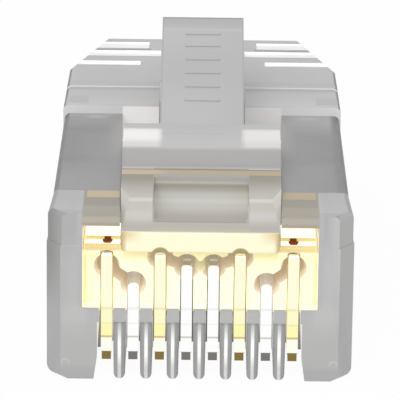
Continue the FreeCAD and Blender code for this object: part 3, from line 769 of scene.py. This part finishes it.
# %% [markdown]
# ## Contacts
#
# Four blades are gold plated and four are bright nickel. Polished metal is mostly what it
# reflects, so the colour stays simple: a scribed line across the front, a paler foot under it, and
# at the very bottom a dark band, which is a painted reflection of the shaded floor in the blade's
# cut lower corner. One function makes both platings, since they differ only in their colours. The
# sides stand in narrow slots of the load bar, which passes some light on, so they get a little
# painted glow, and the blade further back is painted darker as shade.

# %% Contact finishes
DARK_REFLECTION_TOP = 0.985
FOOT_TOP = 1.56
BAND_TOP = 2.14
TINES_FROM = 2.80
PLATING_ROUGHNESS = 0.14


def plated(name, plain, tines, band, foot, line, side, edge):
    """A polished plating with bands of colour up the front of the blade."""
    finish = Finish(name, Metallic=1.0, Emission_Strength=1.0)
    _, depth, height = finish.place()
    face_x, _, face_z = finish.facing()
    color = finish.coats(
        plain,
        (height.above(TINES_FROM, 0.12), tines),
        (height.below(BAND_TOP, 0.02), band),
        (height.below(FOOT_TOP, 0.03), foot),
        (height.between(FOOT_TOP - 0.01, FOOT_TOP + 0.06, 0.02), line),
        (height.between(BAND_TOP - 0.04, BAND_TOP + 0.01, 0.02) * 0.25, line),
        (height.between(TINES_FROM - 0.09, TINES_FROM - 0.03, 0.05) * 0.4, line),
        # Painted shade on the blade further back from the front.
        (depth.above(0.9, 0.1), side),
        # A painted dark reflection along the very bottom.
        (height.below(DARK_REFLECTION_TOP, 0.012), edge),
    )
    brushed = finish.noise(6.0, detail=4.0)
    hidden = face_x.size().above(0.7, 0.1).or_else(face_z.above(0.5, 0.1))
    # Painted glow on the sides and tops that stand in the bar's slots.
    finish.paint(Base_Color=color, Emission_Color=finish.shade(color, hidden * 0.42))
    finish.paint(Roughness=brushed * 0.1 + PLATING_ROUGHNESS)
    finish.bump(brushed, 0.003, strength=0.3)
    return finish


print("a blade's scribed line is %.2f mm up" % FOOT_TOP)

# %% Gold and nickel
# In both platings, side is painted shade on the blade further back, and edge is a painted dark
# reflection along the bottom.
gold = plated(
    "gold_contact",
    plain=screen(255, 252, 208),
    tines=screen(255, 254, 222),
    band=screen(255, 251, 184),
    foot=screen(255, 255, 242),
    line=screen(214, 186, 118),
    side=screen(214, 196, 158),
    edge=screen(134, 116, 70),
)
silver = plated(
    "silver_contact",
    plain=WHITE,
    tines=screen(255, 255, 254),
    band=WHITE,
    foot=WHITE,
    line=screen(206, 203, 198),
    side=screen(206, 203, 196),
    edge=screen(124, 121, 115),
)
for way in range(1, 9):
    finish = gold if way in (1, 3, 6, 8) else silver
    finish.coat_node("contact_%d" % way)
print("gold on 1, 3, 6 and 8; nickel on 2, 4, 5 and 7")


# %% [markdown]
# ## Floor and light
#
# The floor is white paper. Stronger lamps would make it white too, but would bleach the plug. So a
# small share of what the camera sees of it is its own lit surface, which keeps a faint soft shadow
# of the plug, and the rest is plain white, as clean as in a product picture. The light is an even
# white room with one large soft lamp in front.

# %% What is seen directly
def seen_directly(maker, strength):
    """A share for rays that come from the camera, or by way of metal or clear plastic."""
    names = ("Is Camera Ray", "Is Glossy Ray", "Is Transmission Ray")
    camera_ray, glossy, passed = [maker.add("ShaderNodeLightPath", output=name) for name in names]
    inputs = {0: camera_ray + glossy + passed, 1: strength}
    return maker.add("ShaderNodeMath", {"operation": "MULTIPLY", "use_clamp": True}, inputs)


print("the background can differ from the light")

# %% Room
ROOM_LIGHT = 0.62
world = bpy.data.worlds.new("white_room")
scene.world = world
world.use_nodes = True
world.node_tree.nodes.clear()
room = Nodes(world.node_tree)
lit = room.add("ShaderNodeBackground", inputs={"Color": WHITE, "Strength": ROOM_LIGHT})
white = room.add("ShaderNodeBackground", inputs={"Color": WHITE, "Strength": 1.0})
out = room.tree.nodes.new("ShaderNodeOutputWorld")
room.feed(out.inputs[0], room.blend(seen_directly(room, 1.0), lit, white))
print("the room lights the plug at %.2f" % ROOM_LIGHT)

# %% Floor
PLAIN_SHARE = 0.96
paper = Finish("floor_paper", Roughness=0.9)
paper.paint(Base_Color=paper.shade(even(250), paper.noise(0.05) * 0.01 + 0.99))
plain_white = paper.add("ShaderNodeEmission")
lit_paper = Signal(paper, paper.shader.outputs[0])
sheet_look = paper.blend(seen_directly(paper, PLAIN_SHARE), lit_paper, plain_white)
paper.feed(paper.tree.nodes["Material Output"].inputs[0], sheet_look)

mesh = bpy.data.meshes.new("floor")
sheet = bmesh.new()
bmesh.ops.create_grid(sheet, x_segments=1, y_segments=1, size=1.0)
sheet.to_mesh(mesh)
sheet.free()
floor = bpy.data.objects.new("floor", mesh)
floor.data.materials.append(paper.material)
scene.collection.objects.link(floor)
print("floor is %.0f m wide" % floor.dimensions.x)


# %% [markdown]
# ## Lamp
#
# One large square lamp stands to the left of the nose, half way between the table and overhead, so
# that the upward and the forward faces get about the same light. Its size keeps the shadows soft.

# %% Lamp
LAMP_AT = Vector((-0.07, -0.27, 0.27))
LAMP_POWER = 0.72
LAMP_SIZE = 0.30
lamp_data = bpy.data.lights.new("front_lamp", "AREA")
lamp_data.energy = LAMP_POWER
lamp_data.size = LAMP_SIZE
lamp = bpy.data.objects.new("front_lamp", lamp_data)
scene.collection.objects.link(lamp)
lamp.location = LAMP_AT
lamp.rotation_euler = LAMP_AT.to_track_quat("Z", "Y").to_euler()
print("the lamp is %.0f mm away" % (LAMP_AT.length / MM))
